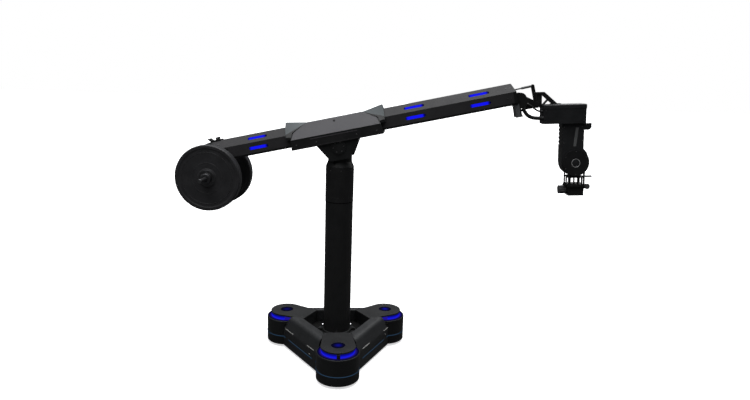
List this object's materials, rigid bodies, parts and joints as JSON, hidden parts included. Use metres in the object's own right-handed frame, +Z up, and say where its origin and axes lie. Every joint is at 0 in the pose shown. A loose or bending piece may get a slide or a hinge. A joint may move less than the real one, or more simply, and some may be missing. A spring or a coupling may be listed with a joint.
{
  "type": "pedestal camera crane",
  "caption": "Motorised pedestal camera crane: wheeled pod base, round column, counterweighted boom with a self-levelling nose, and an under-slung remote head.",
  "frame": {"origin": "on the floor under the centre of the column", "axes": "+Z up, +X along the boom towards the camera head, -Y towards the viewer"},
  "size_m": [2.851, 1.0047, 2.001],
  "materials": {
    "satin_black": "satin",
    "black_alloy": "satin",
    "slate_plate": "satin",
    "fairing_grey": "satin",
    "well_black": "matte",
    "blue_light": "gloss",
    "dark_steel": "satin",
    "bright_steel": "polished",
    "bush_bronze": "satin",
    "plate_rubber": "matte",
    "tyre_rubber": "matte",
    "cable_sheath": "matte",
    "battery_case": "satin",
    "controller_case": "satin",
    "trim_grey": "satin",
    "knob_grey": "matte",
    "bracket_grey": "satin"
  },
  "bodies": {
    "base": {"chassis_frame": "satin_black", "pod_housing_front": "satin_black", "pod_housing_right": "satin_black", "pod_housing_left": "satin_black", "beam_cover_left": "satin_black", "beam_cover_right": "satin_black", "beam_cover_rear": "satin_black", "lid_front": "satin_black", "lid_right": "satin_black", "lid_left": "satin_black", "base_lights": "blue_light", "well_floor": "well_black", "column_flange": "satin_black", "flange_studs": "bright_steel", "column_tube": "satin_black", "pan_bearing": "dark_steel", "battery_pack": "battery_case", "drive_controller": "controller_case"},
    "steer_front": {"fork_front": "dark_steel"},
    "wheel_front": {"hub_front": "black_alloy", "tyre_front": "tyre_rubber"},
    "steer_right": {"fork_right": "dark_steel"},
    "wheel_right": {"hub_right": "black_alloy", "tyre_right": "tyre_rubber"},
    "steer_left": {"fork_left": "dark_steel"},
    "wheel_left": {"hub_left": "black_alloy", "tyre_left": "tyre_rubber"},
    "turntable": {"pan_drum": "satin_black", "column_head": "black_alloy", "pivot_bushes": "bush_bronze"},
    "boom": {"saddle_frame": "black_alloy", "housing_shell_front": "black_alloy", "housing_shell_rear": "black_alloy", "top_plates": "slate_plate", "fairing_front": "fairing_grey", "fairing_rear": "fairing_grey", "boom_tube_rear": "black_alloy", "boom_tube_front": "black_alloy", "boom_lights": "blue_light", "pivot_shaft": "dark_steel", "pivot_caps": "black_alloy", "pivot_screws": "bright_steel", "weight_bracket": "black_alloy", "weight_rod": "dark_steel", "weight_front": "plate_rubber", "weight_rear": "plate_rubber", "weight_collars": "dark_steel", "nose_clevis": "bracket_grey"},
    "level_rod": {"tie_rod": "dark_steel"},
    "nose": {"nose_frame": "black_alloy", "head_box": "black_alloy", "head_lid": "black_alloy", "cable_lower": "cable_sheath", "cable_upper": "cable_sheath"},
    "arm": {"arm_housing": "black_alloy", "arm_trim": "trim_grey"},
    "cradle": {"cradle_frame": "black_alloy", "camera_plate": "bracket_grey"},
    "plate_clamp": {"plate_knob": "knob_grey"},
    "side_clamp": {"side_knob": "knob_grey"}
  },
  "joints": [
    {"name": "steer_front", "type": "hinge", "parent": "base", "child": "steer_front", "pos_m": [0.06413, -0.43429, 0.11], "axis": [0, 0, 1], "range_deg": [-90, 90]},
    {"name": "roll_front", "type": "hinge", "parent": "steer_front", "child": "wheel_front", "pos_m": [0.06413, -0.43429, 0.0625], "axis": [0, 1, 0], "continuous": true},
    {"name": "steer_right", "type": "hinge", "parent": "base", "child": "steer_right", "pos_m": [0.34404, 0.27268, 0.11], "axis": [0, 0, 1], "range_deg": [-90, 90]},
    {"name": "roll_right", "type": "hinge", "parent": "steer_right", "child": "wheel_right", "pos_m": [0.34404, 0.27268, 0.0625], "axis": [0, 1, 0], "continuous": true},
    {"name": "steer_left", "type": "hinge", "parent": "base", "child": "steer_left", "pos_m": [-0.40817, 0.16161, 0.11], "axis": [0, 0, 1], "range_deg": [-90, 90]},
    {"name": "roll_left", "type": "hinge", "parent": "steer_left", "child": "wheel_left", "pos_m": [-0.40817, 0.16161, 0.0625], "axis": [0, 1, 0], "continuous": true},
    {"name": "pan", "type": "hinge", "parent": "base", "child": "turntable", "pos_m": [0, 0, 1.27], "axis": [0, 0, 1], "range_deg": [-180, 180]},
    {"name": "boom_tilt", "type": "hinge", "parent": "turntable", "child": "boom", "pos_m": [0, 0, 1.54], "axis": [0, -1, 0], "range_deg": [-42, 22]},
    {"name": "rod_swing", "type": "hinge", "parent": "turntable", "child": "level_rod", "pos_m": [-0.032, 0, 1.66197], "axis": [0, -1, 0], "range_deg": [-42, 22]},
    {"name": "nose_level", "type": "hinge", "parent": "boom", "child": "nose", "pos_m": [1.325, 0, 1.868], "axis": [0, -1, 0], "range_deg": [-22, 42], "deforming": ["cable_lower", "cable_upper"]},
    {"name": "head_pan", "type": "hinge", "parent": "nose", "child": "arm", "pos_m": [1.56259, 0, 1.76391], "axis": [-0.0593, 0, 0.9982], "range_deg": [-180, 180]},
    {"name": "head_tilt", "type": "hinge", "parent": "arm", "child": "cradle", "pos_m": [1.61002, 0, 1.48823], "axis": [0, -1, 0], "range_deg": [-60, 90]},
    {"name": "plate_knob_turn", "type": "hinge", "parent": "cradle", "child": "plate_clamp", "pos_m": [1.55341, 0, 1.29454], "axis": [0.9982, 0, 0.0593], "range_deg": [-360, 360]},
    {"name": "side_knob_turn", "type": "hinge", "parent": "cradle", "child": "side_clamp", "pos_m": [1.70366, -0.04, 1.32851], "axis": [0, -1, 0], "range_deg": [-360, 360]}
  ],
  "couplings": [
    {"joint": "steer_right", "follows": "steer_front", "ratio": 1},
    {"joint": "steer_left", "follows": "steer_front", "ratio": 1},
    {"joint": "rod_swing", "follows": "boom_tilt", "ratio": 1},
    {"joint": "nose_level", "follows": "boom_tilt", "ratio": -1}
  ]
}
